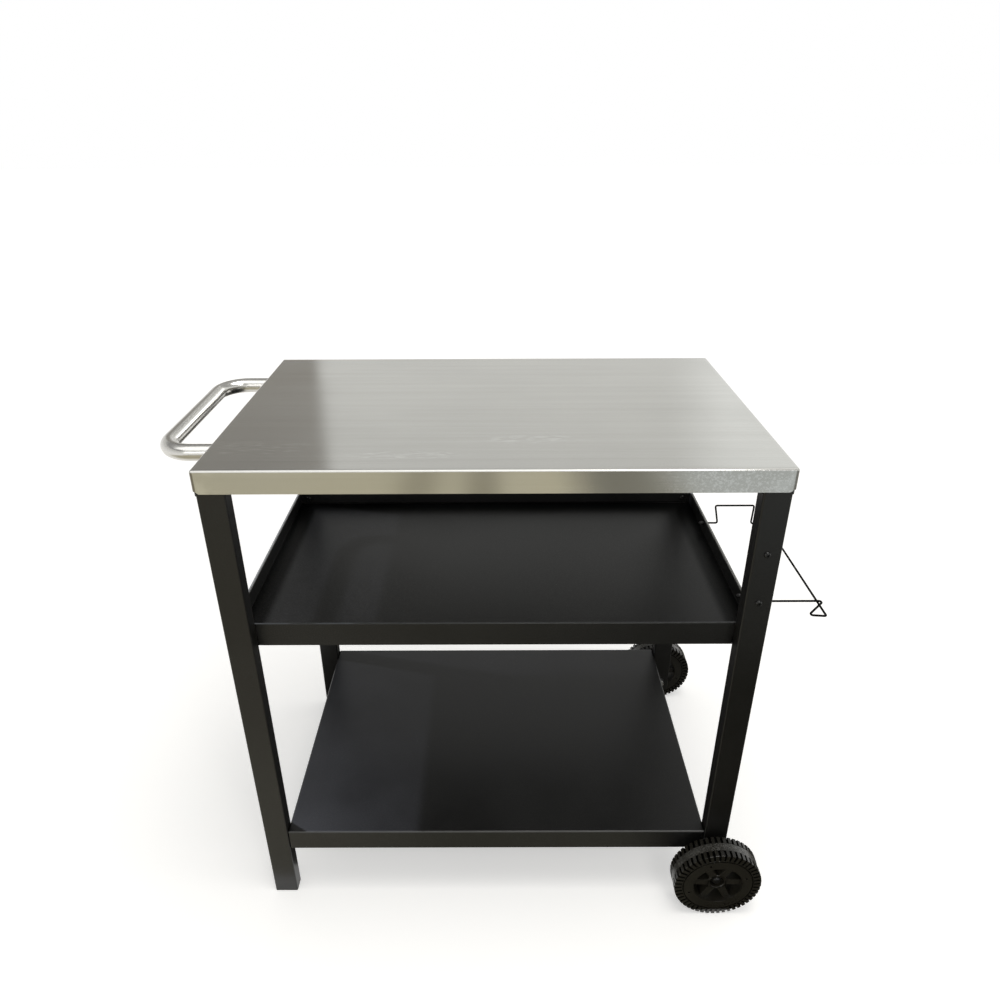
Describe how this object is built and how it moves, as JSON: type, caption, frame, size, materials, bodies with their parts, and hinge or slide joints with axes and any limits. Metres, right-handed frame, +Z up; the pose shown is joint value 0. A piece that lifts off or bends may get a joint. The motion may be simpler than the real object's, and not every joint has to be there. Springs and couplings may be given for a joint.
{
  "type": "grill prep cart",
  "caption": "Stainless steel grill prep cart with a side handle, a middle tray, a lower shelf, a wire bag holder and two wheels.",
  "frame": {"origin": "floor, midway between the handle's grip and the tip of the bag holder, midway between the wheels' outer faces", "axes": "+X from the handle to the wheels, +Y from the side with the accessory screws to the back, +Z up"},
  "size_m": [1.0218, 0.603, 0.848],
  "materials": {
    "stainless_sheet": "brushed along the length",
    "stainless_tube": "polished",
    "zinc_sheet": "zinc coated",
    "zinc_hardware": "zinc plated",
    "black_paint": "satin black powder coat",
    "black_finish": "black coated steel",
    "black_plastic": "matte",
    "wheel_plastic": "moulded, slightly glossy",
    "bush_plastic": "smooth"
  },
  "bodies": {
    "cart": {"tabletop": "stainless_sheet", "top_stiffener_front": "zinc_sheet", "top_stiffener_rear": "zinc_sheet", "leg_socket_front_left": "black_paint", "leg_socket_rear_left": "black_paint", "leg_socket_front_right": "black_paint", "leg_socket_rear_right": "black_paint", "leg_front_left": "black_paint", "leg_rear_left": "black_paint", "leg_front_right": "black_paint", "leg_rear_right": "black_paint", "foot_cap_front_left": "black_plastic", "foot_cap_rear_left": "black_plastic", "leg_plug_front_right": "black_plastic", "leg_plug_rear_right": "black_plastic", "handle": "stainless_tube", "handle_insert_front": "zinc_hardware", "handle_insert_rear": "zinc_hardware", "handle_bolts": "zinc_hardware", "tray": "black_paint", "lower_shelf": "black_paint", "tray_bolts": "black_finish", "shelf_bolts": "black_finish", "socket_bolts": "black_finish", "rivet_nuts": "zinc_hardware", "accessory_screws": "black_finish", "bag_holder": "black_finish", "bag_holder_cap_nuts": "black_finish", "bag_holder_lock_nuts": "zinc_hardware", "axle_bolt_front": "zinc_hardware", "axle_bolt_rear": "zinc_hardware", "axle_nut_front": "black_finish", "axle_nut_rear": "black_finish", "axle_washers": "black_finish"},
    "wheel_front": {"wheel_front": "wheel_plastic", "wheel_bush_front": "bush_plastic"},
    "wheel_rear": {"wheel_rear": "wheel_plastic", "wheel_bush_rear": "bush_plastic"}
  },
  "joints": [
    {"name": "wheel_front_spin", "type": "hinge", "parent": "cart", "child": "wheel_front", "pos_m": [0.37336, -0.2815, 0.075], "axis": [0, 1, 0], "continuous": true},
    {"name": "wheel_rear_spin", "type": "hinge", "parent": "cart", "child": "wheel_rear", "pos_m": [0.37336, 0.2815, 0.075], "axis": [0, 1, 0], "continuous": true}
  ]
}
